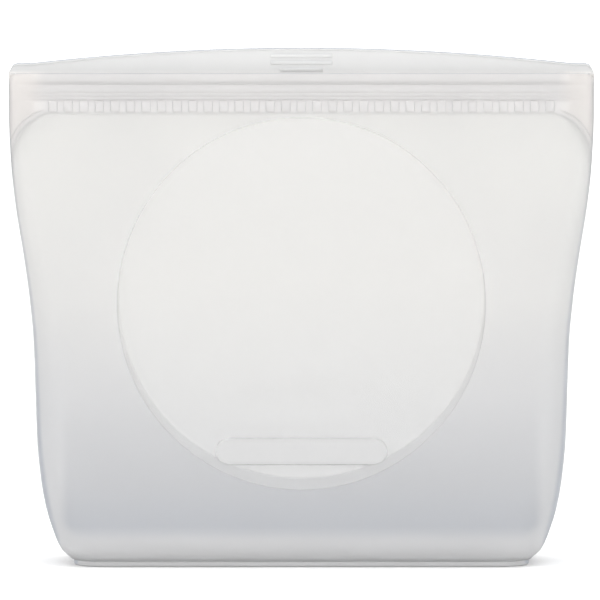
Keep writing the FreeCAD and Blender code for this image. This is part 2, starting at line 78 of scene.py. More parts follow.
# height, half width, half depth, corner radius
SECTIONS = (
    (2.0, 82.2, 22.4, 11.6),
    (6.0, 86.2, 26.2, 13.8),
    (12.0, 88.8, 27.6, 15.0),
    (20.0, 91.4, 27.4, 15.5),
    (30.0, 93.3, 25.4, 14.5),
    (45.0, 94.8, 22.4, 13.0),
    (62.0, 95.4, 19.5, 11.5),
    (80.0, 96.1, 16.3, 10.2),
    (95.0, 97.5, 13.7, 9.2),
    (110.0, 99.6, 11.0, 8.0),
    (130.0, 102.8, 7.8, 6.4),
    (146.0, 104.4, 5.4, 4.8),
    (161.5, 105.0, 3.4, 3.25),
    (185.0, 105.0, 3.2, 3.1),
)
print("sections:", len(SECTIONS), "from", SECTIONS[0][0], "to", SECTIONS[-1][0], "mm high")

# %% [markdown]
# Straight lines between the sections would leave creases. A cubic curve is smooth, and it can't
# overshoot if its slope is level wherever the widths turn, so that is how the slopes are chosen.

# %% The curve between the sections
def slopes_of(places, values):
    """The slope at each place of a curve that rises and falls only where its values do."""
    steps = [(values[i + 1] - values[i]) / (places[i + 1] - places[i]) for i in range(len(values) - 1)]
    slopes = [steps[0]]
    for before, after in zip(steps, steps[1:]):
        same_way = before * after > 0
        slopes.append(2 * before * after / (before + after) if same_way else 0.0)
    return slopes + [steps[-1]]


HEIGHTS = [row[0] for row in SECTIONS]
CURVES = [[row[column] for row in SECTIONS] for column in (1, 2, 3)]
SLOPES = [slopes_of(HEIGHTS, curve) for curve in CURVES]


def section(z):
    """Half width, half depth and corner radius of the bag at a height, all in mm."""
    z = min(max(z, HEIGHTS[0]), HEIGHTS[-1])
    low = max(i for i in range(len(HEIGHTS) - 1) if HEIGHTS[i] <= z)
    span = HEIGHTS[low + 1] - HEIGHTS[low]
    t = (z - HEIGHTS[low]) / span
    found = []
    for curve, slope in zip(CURVES, SLOPES):
        start, end = curve[low], curve[low + 1]
        found.append(
            start * (1 + 2 * t) * (1 - t) ** 2
            + end * t * t * (3 - 2 * t)
            + span * slope[low] * t * (1 - t) ** 2
            + span * slope[low + 1] * t * t * (t - 1)
        )
    return found


print("half width, depth and corner at 94 mm:", [round(s, 1) for s in section(94)])

# %% [markdown]
# The heights and radii of the other bands come from the boxes of the CAD nodes.

# %% Heights taken from the frame
def low_of(node):
    """The lowest corner of a CAD node, in mm."""
    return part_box(node)[0] / MM


def high_of(node):
    """The highest corner of a CAD node, in mm."""
    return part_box(node)[1] / MM


RIM = high_of("bottom_tray").z
LIP_TOP = high_of("front_lip").z
BAND_TOP = high_of("back_zip_band").z
FLAP_TOP = high_of("tab_edge_bead").z
FLAP_END = 179.3
BAND_HALF_X = high_of("front_zip_band").x
WINDOW_RADIUS = high_of("front_window").x
WINDOW_Z = (high_of("front_window").z + low_of("front_window").z) / 2
EAR_CORNER = 3.2
print("rim", round(RIM, 1), "lip", round(LIP_TOP, 1), "flap", round(FLAP_TOP, 1))


def smooth_step(value, start, end):
    """0 before start, 1 after end, and an easy curve between."""
    t = min(max((value - start) / (end - start), 0.0), 1.0)
    return t * t * (3 - 2 * t)


def arch(x):
    """The height of the flap's arched edge at a distance along the zip."""
    rise = FLAP_TOP - FLAP_END
    radius = (rise * rise + BAND_HALF_X * BAND_HALF_X) / (2 * rise)
    return FLAP_TOP - radius + math.sqrt(radius * radius - x * x)


def ear_round(x):
    """How far the rounded outer corner of an ear lies below its top at a distance along the zip."""
    past = max(0.0, abs(x) - (section(170)[0] - EAR_CORNER))
    past = min(past, EAR_CORNER)
    return EAR_CORNER - math.sqrt(EAR_CORNER * EAR_CORNER - past * past)


print("arch in the middle:", round(arch(0), 1), "and at the band's end:", round(arch(BAND_HALF_X), 1))

# %% [markdown]
# ## How the silicone bends
# Two CAD bodies swing when the mouth is pulled open, but silicone doesn't swing like a door. It stays
# shut at the ears and opens most in the middle, as an eye does. The share it stores at each point is
# then scaled down to nothing towards the two sides, with one rule for every piece, so that the wall,
# zip, window and pinch row stay together at every pose.

# %% Helpers that make a piece follow the bending silicone
TAB_HALF_X = high_of("pull_tab").x
SIDE_STILL = 14.0
BEND_BELOW_RIM, BEND_ABOVE_RIM = 10, 26
TAB_BEND_TALL = 4


def mouth_share(x, z):
    """How much of a wall's swing a point takes: all in the middle, none at the sides."""
    return 1.0 - smooth_step(abs(x), TAB_HALF_X, section(z)[0] - SIDE_STILL)


def tab_share(x, z):
    """How much of the tab's bend a point takes at any height: all in the middle, none at the wings."""
    return max(0.0, 1.0 - (x / TAB_HALF_X) ** 2) ** 2


def bend_between(piece, still, moving, start_z, end_z, share):
    """Blends a piece from one body to the next with height, then scales it by a share of its own."""
    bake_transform(piece, still, moving, (0, 0, start_z * MM), (0, 0, end_z * MM))
    stored = piece.data.attributes["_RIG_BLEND"].data
    for vertex, cell in zip(piece.data.vertices, stored):
        cell.value *= share(vertex.co.x / MM, vertex.co.z / MM)


def follow_wall(piece, wall):
    """Makes a piece follow the front or back wall."""
    bend_between(piece, "pouch", wall, RIM - BEND_BELOW_RIM, RIM + BEND_ABOVE_RIM, mouth_share)


def follow_tab(piece):
    """Makes a piece follow the pull tab."""
    bend_between(piece, "back_wall", "pull_flap", BAND_TOP, BAND_TOP + TAB_BEND_TALL, tab_share)


shares = [round(mouth_share(x, 170), 2) for x in (0, 40, 60, 80, 100)]
print("share of the mouth's swing at 0, 40, 60, 80 and 100 mm:", shares)

# %% [markdown]
# ## Mesh helpers
# A bmesh is a mesh being edited. `add_wall` gives an open sheet its thickness, `soften` rounds the sharp
# edges that are picked for it, and `finish_piece` turns it into a smooth object in metres. Some operators
# make their faces in another order at each run, so those are sorted by place before they are kept.

# %% Helpers that finish a mesh
def sharp_edges(bm, chosen, angle):
    """Edges of a mesh that turn by more than an angle and that a rule chooses."""
    least = math.radians(angle)
    turned = [e for e in bm.edges if e.is_manifold and e.calc_face_angle(0) > least]
    return [e for e in turned if chosen((e.verts[0].co + e.verts[1].co) / 2)]


def soften(bm, width, chosen=lambda middle: True, angle=50.0, segments=2):
    """Rounds the chosen sharp edges of a mesh."""
    bmesh.ops.bevel(
        bm,
        geom=sharp_edges(bm, chosen, angle),
        offset=width,
        segments=segments,
        profile=0.5,
        affect="EDGES",
        material=-1,
        clamp_overlap=False,
    )


def add_wall(bm, thickness):
    """Gives an open sheet a wall, inwards from its outside."""
    mesh = bpy.data.meshes.new("sheet")
    bm.to_mesh(mesh)
    sheet = bpy.data.objects.new("sheet", mesh)
    bpy.context.scene.collection.objects.link(sheet)
    wall = sheet.modifiers.new("wall", "SOLIDIFY")
    wall.thickness = thickness
    wall.offset = -1.0
    wall.use_even_offset = True
    graph = bpy.context.evaluated_depsgraph_get()
    thick = sheet.evaluated_get(graph).to_mesh()
    bm.clear()
    bm.from_mesh(thick)
    bpy.data.objects.remove(sheet)
    bpy.data.meshes.remove(mesh)


def put_in_order(bm):
    """Sorts the vertices and faces of a mesh by place."""
    for parts, place in ((bm.verts, lambda v: v.co), (bm.faces, lambda f: f.calc_center_median())):
        ordered = sorted(parts, key=lambda part: tuple(place(part)))
        rank = {part: number for number, part in enumerate(ordered)}
        parts.sort(key=rank.get)


def finish_piece(bm, name, sharp_angle=40.0):
    """Turns a bmesh drawn in millimetres into a smooth-shaded object in metres."""
    bmesh.ops.recalc_face_normals(bm, faces=bm.faces)
    bmesh.ops.scale(bm, vec=Vector((MM, MM, MM)), verts=bm.verts)
    put_in_order(bm)
    open_edges = sum(e.is_boundary for e in bm.edges)
    mesh = bpy.data.meshes.new(name)
    bm.to_mesh(mesh)
    bm.free()
    mesh.polygons.foreach_set("use_smooth", [True] * len(mesh.polygons))
    mesh.set_sharp_from_angle(angle=math.radians(sharp_angle))
    piece = bpy.data.objects.new(name, mesh)
    bpy.context.scene.collection.objects.link(piece)
    print(name, "faces", len(mesh.polygons), "open edges", open_edges)
    return piece


# %% [markdown]
# ## The two half skins
# The skin is split like its mould, along the sides. Each half is one sheet that runs from the seam at
# one side, round the corner, across the wall and round to the other seam, and from the foot to the
# lip. It could be lofted from curves, but a grid is quicker and bends better: `create_grid` makes the
# cells, and each vertex then moves to its place on the bag, by its row and column. The cells are
# finest where the shape turns: round the corners and across the zip.

# %% Rows and columns of the grid
BLOCK_HALF_X = 72.0
BLOCK_LOW, BLOCK_HIGH = 25.5, 162.5
BLOCK_CELLS = 32
FULL_FLAT = 76
TRAY_ROWS = (2.0, 2.8, 4.0, 5.6, 7.6, 10.0, 13.0, 16.6, 20.8)
GROOVES = (171.6, 168.8, 167.4, 166.1)
GROOVE_HALF = 0.4
PLAIN_ROWS = (163.2, 164.3, 165.2, 170.0, 172.5, 173.1, 173.8, 174.4, 174.9, 175.3)


def even(start, end, count):
    """Evenly spaced values from start up to, and not including, end."""
    return [start + (end - start) * i / count for i in range(count)]


def wall_rows(top):
    """Every row height of a half skin, with three rows to each moulded groove of the zip."""
    groove_rows = [round(g + s * GROOVE_HALF, 2) for g in GROOVES for s in (-1, 0, 1)]
    zip_rows = sorted(set(groove_rows) | {row for row in PLAIN_ROWS if row < top - 0.1})
    return list(TRAY_ROWS) + even(BLOCK_LOW, BLOCK_HIGH, BLOCK_CELLS) + [BLOCK_HIGH] + zip_rows + [top]


# the columns from a side seam to the middle of the wall: their zone, and how far along it they lie
columns = [("side", t) for t in even(0, 1, 3)]
columns += [("corner", t) for t in even(0, 1, 9)]
columns += [("outer", t) for t in even(0, 1, 4)]
columns += [("block", t) for t in even(-1, 0, BLOCK_CELLS // 2)]


def plan_point(zone, t, z):
    """Where a column of the left half crosses a height: x, and y out of the mid plane."""
    width, depth, corner = section(z)
    flat = width - corner
    if zone == "side":
        return -width, t * (depth - corner)
    if zone == "corner":
        angle = t * math.pi / 2
        return -flat - corner * math.cos(angle), depth - corner + corner * math.sin(angle)
    if zone == "outer":
        return -flat + t * (flat - BLOCK_HALF_X * min(1.0, flat / FULL_FLAT)), depth
    return t * BLOCK_HALF_X * min(1.0, flat / FULL_FLAT), depth


print("columns", 2 * len(columns) + 1, "rows", len(wall_rows(LIP_TOP)))

# %% [markdown]
# The walls aren't flat. The mould gives the front a rounded lip with thin grooves under it that fade
# out before the ears, and a hint of a raised ring round each window. A soft wall is never quite true
# either. Each of these is a small push in or out at a place on the wall.

# %% Relief of the walls
GROOVE_DEPTH, BACK_GROOVE_DEPTH = 0.15, 0.25
LIP_BULGE = 0.1
WAVE_HEIGHT = 0.42
RING_HEIGHT, RING_PLACE = 0.05, 1.2


def ear_fade(x):
    """1 along the zip, falling to 0 before the ears."""
    return 1.0 - smooth_step(abs(x), 93.0, 97.5)


def groove(z, place, depth):
    """A small dip in the skin at a height."""
    return -depth * max(0.0, 1 - abs(z - place) / GROOVE_HALF)


def front_relief(x, z):
    """How far the front band stands out at a height."""
    push = sum(groove(z, place, GROOVE_DEPTH) for place in GROOVES)
    if z > GROOVES[0] + GROOVE_HALF:
        across = 2 * (z - GROOVES[0] - GROOVE_HALF) / (LIP_TOP - GROOVES[0] - GROOVE_HALF) - 1
        push += LIP_BULGE * (1 - across ** 4)
    return push * ear_fade(x)


def back_relief(x, z):
    """The back band has only its two outer grooves."""
    outer = groove(z, GROOVES[0], BACK_GROOVE_DEPTH) + groove(z, GROOVES[-1], BACK_GROOVE_DEPTH)
    return outer * ear_fade(x)


def wall_wave(x, z):
    """Slow, shallow waves over the soft walls, still at the tray, the zip and the sides."""
    wall = smooth_step(z, 20, 45) * (1 - smooth_step(z, 130, 158)) * (1 - smooth_step(abs(x), 60, 84))
    wave = math.sin(x / 31 + 0.6) * math.sin(z / 24 + 1.1) + 0.6 * math.sin(x / 17 - z / 29)
    return WAVE_HEIGHT * wall * wave


def wall_depth(x, z):
    """How far the outside of a wall stands from the mid plane."""
    from_rim = math.hypot(x, z - WINDOW_Z) - WINDOW_RADIUS
    ring = RING_HEIGHT * math.exp(-((from_rim - RING_PLACE) ** 2))
    return section(z)[1] + wall_wave(x, z) + ring


print("front of the bag at its middle, 94 mm up, stands out", round(wall_depth(0, 94), 2), "mm")

# %% [markdown]
# One function moves every vertex of a fresh grid. The row gives the height and the column gives the
# place across, so both halves and both sides of each half come from the same few lines.

# %% Move a grid onto the bag
def move_grid(bm, rows, side, relief):
    """Moves the cells of a fresh grid to their places on one half of the bag."""
    left = columns + [("block", 0.0)]
    last = 2 * len(columns)
    for vertex in bm.verts:
        column = round((vertex.co.x + 1) / 2 * last)
        z = rows[round((vertex.co.y + 1) / 2 * (len(rows) - 1))]
        mirrored = column > len(columns)
        zone, t = left[last - column if mirrored else column]
        x, y = plan_point(zone, t, z)
        if zone != "side":
            y += relief(x, z) + wall_wave(x, z)
        if side < 0:
            z -= ear_round(x) * max(0.0, (z - BLOCK_HIGH) / (rows[-1] - BLOCK_HIGH))
        vertex.co = Vector((-x if mirrored else x, side * y, z))


# %% [markdown]
# The sheet is made with its window hole: a block of cells is deleted, a circle is put in its place,
# and `bridge_loops` joins the block's edge to the circle. `subdivide_edges` then cuts those long
# spokes into rings, and each ring is laid on the wall. A boolean would leave long thin faces instead.

# %% Cut the window's hole
def cut_window(bm, side):
    """Deletes a block of cells and bridges its edge to a round hole."""
    outer_rim = {e for e in bm.edges if e.is_boundary}
    middles = [(f, f.calc_center_median()) for f in bm.faces]
    block = [f for f, m in middles if abs(m.x) < BLOCK_HALF_X and BLOCK_LOW < m.z < BLOCK_HIGH]
    bmesh.ops.delete(bm, geom=block, context="FACES")
    block_rim = [e for e in bm.edges if e.is_boundary and e not in outer_rim]
    upright = Matrix.Translation((0, 0, WINDOW_Z)) @ Matrix.Rotation(math.pi / 2, 4, "X")
    circle = bmesh.ops.create_circle(bm, segments=4 * BLOCK_CELLS, radius=WINDOW_RADIUS, matrix=upright)
    hole_rim = list({e for v in circle["verts"] for e in v.link_edges})
    joined = bmesh.ops.bridge_loops(bm, edges=block_rim + hole_rim)
    spokes = [e for e in joined["edges"] if e not in block_rim and e not in hole_rim]
    bmesh.ops.subdivide_edges(bm, edges=spokes, cuts=5, use_grid_fill=True)
    for vertex in bm.verts:
        x, z = vertex.co.x, vertex.co.z
        if abs(x) < BLOCK_HALF_X - 0.1 and BLOCK_LOW + 0.1 < z < BLOCK_HIGH - 0.1:
            vertex.co.y = side * wall_depth(x, z)


# %% [markdown]
# A half skin is a grid, moved and cut, with a floor filled across its foot. Then it gets its wall of
# 1.5 mm, inwards, so that the outside stays where the frame has it, and the lip's edges are rounded.

# %% The front and back half skins
SKIN = 1.5
LIP_EDGE = 0.25


def half_skin(name, side, top, relief):
    """One half of the skin, from the foot to its top edge, with its floor and window hole."""
    rows = wall_rows(top)
    bm = bmesh.new()
    bmesh.ops.create_grid(bm, x_segments=2 * len(columns), y_segments=len(rows) - 1, size=1)
    move_grid(bm, rows, side, relief)
    cut_window(bm, side)
    foot = [v for v in bm.verts if v.is_boundary and v.co.z < rows[0] + 0.01]
    bmesh.ops.contextual_create(bm, geom=foot)
    bmesh.ops.recalc_face_normals(bm, faces=bm.faces)
    middle = next(f for f in bm.faces if len(f.verts) > 8)
    if middle.normal.z > 0:
        bmesh.ops.reverse_faces(bm, faces=bm.faces)
    add_wall(bm, SKIN)
    soften(bm, LIP_EDGE, lambda m: m.z > top - 0.2 and abs(m.y) > 0.05)
    return finish_piece(bm, name)


front_skin = half_skin("front_skin", -1, LIP_TOP, front_relief)
back_skin = half_skin("back_skin", 1, BAND_TOP, back_relief)
follow_wall(front_skin, "front_wall")
follow_wall(back_skin, "back_wall")
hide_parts("bottom_tray", "left_side_wall", "right_side_wall", "front_panel")
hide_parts("front_zip_band", "front_lip")
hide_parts("back_panel", "back_zip_band")

# %% [markdown]
# ## The foot
# The bag stands on a flat pad a little smaller than the tray, moulded with it. A cube with rounded
# corners and a rounded lower edge is enough.

# %% The foot plate
FOOT_SPREAD_X, FOOT_SPREAD_Y = 2.6, 1.9
FOOT_CORNER, FOOT_EDGE = 11.2, 0.7


def rounded_plate(half_x, half_y, low, high, corner, edge):
    """A plate with rounded corners and a rounded lower edge."""
    bm = bmesh.new()
    size = Matrix.Diagonal((2 * half_x, 2 * half_y, high - low, 1))
    bmesh.ops.create_cube(bm, size=1, matrix=Matrix.Translation((0, 0, (low + high) / 2)) @ size)
    upright = [e for e in bm.edges if abs(e.verts[0].co.z - e.verts[1].co.z) > 0.1]
    bmesh.ops.bevel(
        bm, geom=upright, offset=corner, segments=8, profile=0.5, affect="EDGES", material=-1
    )
    soften(bm, edge, lambda m: m.z < low + 0.01, segments=3)
    return bm


foot_low, foot_high = low_of("base_plate"), high_of("base_plate")
foot_half_x, foot_half_y = foot_high.x + FOOT_SPREAD_X, foot_high.y + FOOT_SPREAD_Y
foot = rounded_plate(foot_half_x, foot_half_y, foot_low.z, foot_high.z + 0.1, FOOT_CORNER, FOOT_EDGE)
foot_plate = finish_piece(foot, "foot_plate")
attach(foot_plate, "pouch")
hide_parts("base_plate")

# %% [markdown]
# ## The round windows
# Each wall has a clear, polished disc in its frosted skin. It is the same silicone, only the mould is
# polished there. A circle is filled, its rings are made by insetting the face again and again, and
# each ring is laid on the wall's curve before the disc is given its thickness.

# %% Windows
WINDOW_SKIN = 1.46
WINDOW_DIP = 0.02
WINDOW_RINGS = (0.5, 1.0) + (6.0,) * 10


def window_disc(name, side):
    """A clear disc that follows the curve of its wall."""
    bm = bmesh.new()
    upright = Matrix.Translation((0, 0, WINDOW_Z)) @ Matrix.Rotation(-side * math.pi / 2, 4, "X")
    radius = WINDOW_RADIUS - 0.02
    bmesh.ops.create_circle(bm, cap_ends=True, segments=4 * BLOCK_CELLS, radius=radius, matrix=upright)
    face = bm.faces[:]
    for step in WINDOW_RINGS:
        bmesh.ops.inset_region(bm, faces=face, thickness=step, use_even_offset=True, use_boundary=True)
    bmesh.ops.poke(bm, faces=[f for f in bm.faces if len(f.verts) > 8])
    for vertex in bm.verts:
        x, z = vertex.co.x, vertex.co.z
        vertex.co.y = side * (section(z)[1] + wall_wave(x, z) - WINDOW_DIP)
    outward = sum(f.normal.y for f in bm.faces) * side
    if outward < 0:
        bmesh.ops.reverse_faces(bm, faces=bm.faces)
    add_wall(bm, WINDOW_SKIN)
    return finish_piece(bm, name)


front_window = window_disc("front_window_disc", -1)
back_window = window_disc("back_window_disc", 1)
follow_wall(front_window, "front_wall")
follow_wall(back_window, "back_wall")
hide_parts("front_window")
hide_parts("back_window")

# %% [markdown]
# ## Strips
# The rest of the bag is made of long thin bands: the zip's two halves, the carrier of the pinch
# blocks, the flap, the ears and the label bar. One helper makes them all. `extrude_face_region` gives a
# grid a back, and the front and the back are then moved to their places.

# %% A band helper
def make_strip(cells_x, cells_z, front_of, back_of):
    """A band from a grid: two rules give its front and back points from two shares of its size."""
    bm = bmesh.new()
    bmesh.ops.create_grid(bm, x_segments=cells_x, y_segments=cells_z, size=1)
    shares = {v: ((v.co.x + 1) / 2, (v.co.y + 1) / 2) for v in bm.verts}
    made = bmesh.ops.extrude_face_region(bm, geom=bm.faces[:])
    backs = [item for item in made["geom"] if isinstance(item, bmesh.types.BMVert)]
    back_shares = [((v.co.x + 1) / 2, (v.co.y + 1) / 2) for v in backs]
    for vertex, (across, up) in shares.items():
        if vertex.is_valid:
            vertex.co = Vector(front_of(across, up))
    for vertex, (across, up) in zip(backs, back_shares):
        vertex.co = Vector(back_of(across, up))
    return bm


# %% [markdown]
# ## The zip
# The front half of the zip is a bar with two grooves and the back half is a bar with two ridges that
# press into them. A real zip has hooked edges too small to see, and the plain ridges stand for them.

# %% Zip channel and tongues
ZIP_LOW = low_of("front_zip_channel").z
ZIP_HALF_X = high_of("front_zip_channel").x
ZIP_FACE, ZIP_ROOT = 0.15, 1.78
GROOVE_REACH, TONGUE_REACH = 1.3, -1.25
ZIP_ROWS = (0.0, 1.05, 1.2, 2.0, 2.8, 2.95, 4.45, 4.6, 5.4, 6.2, 6.35, 7.4)
GROOVE_ROWS = (1.2, 2.0, 2.8, 4.6, 5.4, 6.2)


def zip_bar(name, side, reach):
    """A bar along the zip whose face is pushed back into grooves or out into ridges."""
    def face_point(across, up):
        row = ZIP_ROWS[round(up * (len(ZIP_ROWS) - 1))]
        push = reach if row in GROOVE_ROWS else 0.0
        return ((2 * across - 1) * ZIP_HALF_X, side * (ZIP_FACE + push), ZIP_LOW + row)

    def root_point(across, up):
        row = ZIP_ROWS[round(up * (len(ZIP_ROWS) - 1))]
        return ((2 * across - 1) * ZIP_HALF_X, side * ZIP_ROOT, ZIP_LOW + row)

    bm = make_strip(72, len(ZIP_ROWS) - 1, face_point, root_point)
    return finish_piece(bm, name, sharp_angle=30)


zip_channel = zip_bar("zip_channel", -1, GROOVE_REACH)
zip_tongues = zip_bar("zip_tongues", 1, TONGUE_REACH)
follow_wall(zip_channel, "front_wall")
follow_wall(zip_tongues, "back_wall")
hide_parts("front_zip_channel")
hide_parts("back_zip_tongues")

# %% [markdown]
# ## The pinch row
# A row of small blocks under the zip gives the fingertips something to press and slide along. Each is
# a cube with its edges rounded, and all of them are one piece, because they are one moulding.

# %% Pinch blocks
BLOCKS, BLOCK_PITCH = 33, 5.57
ROW_HALF_X = (BLOCKS - 1) / 2 * BLOCK_PITCH
PINCH_HALF_X, PINCH_EDGE = 1.62, 0.42
PINCH_LOW, PINCH_TOP = low_of("front_pinch_row").z, 166.0
PINCH_IN, PINCH_OUT = -2.9, -3.95


def block(bm, x, low, high, half_x, y_in, y_out, edge):
    """Adds one small block with rounded edges."""
    middle = Matrix.Translation((x, (y_in + y_out) / 2, (low + high) / 2))
    size = Matrix.Diagonal((2 * half_x, abs(y_out - y_in), high - low, 1))
    made = bmesh.ops.create_cube(bm, size=1, matrix=middle @ size)
    edges = list({e for v in made["verts"] for e in v.link_edges})
    bmesh.ops.bevel(bm, geom=edges, offset=edge, segments=2, profile=0.5, affect="EDGES", material=-1)


row = bmesh.new()
for number in range(BLOCKS):
    place = (2 * number / (BLOCKS - 1) - 1) * ROW_HALF_X
    block(row, place, PINCH_LOW, PINCH_TOP, PINCH_HALF_X, PINCH_IN, PINCH_OUT, PINCH_EDGE)
pinch_row = finish_piece(row, "pinch_row")
follow_wall(pinch_row, "front_wall")
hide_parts("front_pinch_row")

# %% [markdown]
# ## The ears
# At each end the two walls are one solid lump of silicone, so the mouth can't tear open. Its inner
# edge is the rounded top corner of the pocket. The lump fills the skin, so only its inner curve and
# its top show.

# %% Ear cores
POCKET_CORNER = (
    (146.7, 102.6),
    (151.4, 100.6),
    (155.7, 97.8),
    (158.9, 95.2),
    (160.9, 92.6),
    (161.9, 90.2),
)
EAR_FOOT, EAR_NECK, EAR_TOP = 146.7, 161.9, 175.5
CORE_INSET, CORE_OVERLAP, CORE_LEAST = 1.3, 0.05, 0.35
CORE_ROUND_FROM, CORE_ROUND_SHARE = 173, 0.75


def pocket_edge(z):
    """Where the pocket's rounded top corner ends at a height."""
    for (low, low_x), (high, high_x) in zip(POCKET_CORNER, POCKET_CORNER[1:]):
        if z <= high:
            return low_x + (high_x - low_x) * max(0.0, (z - low) / (high - low))
    return ZIP_HALF_X + 0.05


def ear_core(name, side):
    """The solid lump that joins the two walls at one end of the zip."""
    rows = even(EAR_FOOT, EAR_NECK, 14) + [161.89, 162.1] + even(163.5, EAR_TOP, 8) + [EAR_TOP]

    def point(across, up, face):
        z = rows[round(up * (len(rows) - 1))]
        width, depth, corner = section(z)
        inner, outer = pocket_edge(z), width - CORE_INSET
        x = inner + across * (outer - inner)
        past = max(0.0, x - (width - corner)) / corner
        half = (depth - corner) + corner * math.sqrt(max(0.0, 1 - past * past)) - SKIN
        lower = CORE_ROUND_SHARE * ear_round(x) if z > CORE_ROUND_FROM else 0.0
        return (side * x, face * max(CORE_LEAST, half + CORE_OVERLAP), z - lower)

    front_of = lambda across, up: point(across, up, -1)
    back_of = lambda across, up: point(across, up, 1)
    bm = make_strip(6, len(rows) - 1, front_of, back_of)
    return finish_piece(bm, name)


left_core = ear_core("left_ear_core", -1)
right_core = ear_core("right_ear_core", 1)
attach(left_core, "pouch")
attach(right_core, "pouch")
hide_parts("left_ear")
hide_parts("right_ear")

# %% [markdown]
# ## The pull flap
# Behind the zip the back wall goes on up into a low arch with a bead along its edge. Only its middle
# bends under the thumb, so the arch is three pieces: a tab and two wings. They share one profile, from
# the bead down, so that their ends meet.

# %% Flap profile
FLAP_MID_Y = 2.45
WEB_HALF, BEAD_SWELL, EDGE_ROUND = 0.72, 0.25, 0.2
BEAD_ROWS = (0.0, 0.1, 0.25, 0.45, 0.65, 0.82, 0.93, 1.0, 1.3)
FLAP_ROWS = 6


def flap_top(x):
    """The height of the flap's edge, with the rounded corner over the ear."""
    return arch(min(abs(x), BAND_HALF_X)) - ear_round(x)


def flap_half(below):
    """Half the flap's thickness at a distance below its edge: a bead, then a plain sheet."""
    bead = max(0.0, 1 - ((below - 0.5) / 0.5) ** 2)
    return WEB_HALF + BEAD_SWELL * math.sqrt(bead) - EDGE_ROUND * (1 - smooth_step(below, 0, 0.3))


def flap_strip(start, end, cells):
    """A length of the flap between two places along the zip."""
    def point(across, up, face):
        x = start + across * (end - start)
        top, count = flap_top(x), len(BEAD_ROWS) + FLAP_ROWS - 1
        down = count - round(up * count)
        if down < len(BEAD_ROWS):
            below = BEAD_ROWS[down]
        else:
            share = (down - len(BEAD_ROWS) + 1) / FLAP_ROWS
            below = BEAD_ROWS[-1] + share * (top - BEAD_ROWS[-1] - BAND_TOP - 0.02)
        below = min(below, top - BAND_TOP - 0.02)
        return (x, FLAP_MID_Y + face * flap_half(below), top - below)

    front_of = lambda across, up: point(across, up, -1)
    back_of = lambda across, up: point(across, up, 1)
    return make_strip(cells, len(BEAD_ROWS) + FLAP_ROWS - 1, front_of, back_of)


WING_END = section(178)[0]
left_wing = finish_piece(flap_strip(-WING_END, -TAB_HALF_X, 46), "left_wing")
right_wing = finish_piece(flap_strip(TAB_HALF_X, WING_END, 46), "right_wing")
pull_tab = finish_piece(flap_strip(-TAB_HALF_X, TAB_HALF_X, 36), "thumb_tab")
follow_wall(left_wing, "back_wall")
follow_wall(right_wing, "back_wall")
follow_tab(pull_tab)
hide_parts("left_flap_wing")
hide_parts("right_flap_wing")
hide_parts("pull_tab", "tab_edge_bead")

# %% [markdown]
# Three low ribs in the middle of the tab stop the thumb slipping.

# %% Grip ribs
RIB_HALF_X = (7.75, 11.0, 11.0)
RIB_TALL, RIB_PITCH, RIB_EDGE = 1.25, 2.5, 0.18
RIB_IN, RIB_OUT = 1.78, 1.38

ribs = bmesh.new()
for number, half_x in enumerate(RIB_HALF_X):
    low = low_of("flap_grip_ribs").z + RIB_PITCH * number
    block(ribs, 0.0, low, low + RIB_TALL, half_x, RIB_IN, RIB_OUT, RIB_EDGE)
grip_ribs = finish_piece(ribs, "grip_ribs")
follow_tab(grip_ribs)
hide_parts("flap_grip_ribs")

# %% [markdown]
# ## The label bar
# Bags like this carry a raised name in the lower part of the window. A plain raised bar with rounded
# ends stands in for it, laid on the window's curve.

# %% Label bar
LABEL_MID_Z = (low_of("label_bar").z + high_of("label_bar").z) / 2
LABEL_HALF_X = high_of("label_bar").x
LABEL_HALF_Z = (high_of("label_bar").z - low_of("label_bar").z) / 2
LABEL_PROUD, LABEL_BURIED, LABEL_EDGE = 0.42, 0.3, 0.15


def label_point(across, up, proud):
    """A point of the label bar: a long pill laid on the front window."""
    z = LABEL_MID_Z + (2 * up - 1) * LABEL_HALF_Z
    rounding = LABEL_HALF_Z - math.sqrt(max(0.0, LABEL_HALF_Z ** 2 - (z - LABEL_MID_Z) ** 2))
    x = (2 * across - 1) * (LABEL_HALF_X - rounding)
    return (x, -(section(z)[1] + wall_wave(x, z) - WINDOW_DIP + proud), z)


label_front = lambda across, up: label_point(across, up, LABEL_PROUD)
label_back = lambda across, up: label_point(across, up, -LABEL_BURIED)
label_bm = make_strip(40, 12, label_front, label_back)
soften(label_bm, LABEL_EDGE)
label_bar = finish_piece(label_bm, "plain_label_bar")
follow_wall(label_bar, "front_wall")
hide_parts("label_bar")

# %% [markdown]
# ## Finishes
# The whole bag is one clear silicone. Where the mould is blasted it comes out frosted, and where it is
# polished it comes out clear. So both finishes are built the same way: a Principled shader that lets light
# through, with roughness, fine grain and a tint that deepens where the silicone is thick, with painted light
# and shade laid into that tint.
# Silicone bends light a little less than glass does, so its index of refraction is 1.41.

# %% A new material
SILICONE_IOR = 1.41


def new_material(name):
    """A fresh material with its Principled shader."""
    material = bpy.data.materials.new(name)
    material.use_nodes = True
    nodes = material.node_tree.nodes
    return material, nodes, material.node_tree.links, nodes["Principled BSDF"]


# %% [markdown]
# A tint that follows the bag has to know where on the bag it is. Object coordinates give the place in
# metres, because every piece is at the origin. The left and right are alike, so the distance to the
# side is taken without its sign. Small sums then turn a place into a share from 0 to 1.

# %% Places and sums on sockets
def math_node(nodes, links, kind, first, second=0.0):
    """One sum on a socket and a number, or on two sockets."""
    node = nodes.new("ShaderNodeMath")
    node.operation = kind
    links.new(first, node.inputs[0])
    if isinstance(second, float):
        node.inputs[1].default_value = second
    else:
        links.new(second, node.inputs[1])
    return node.outputs[0]


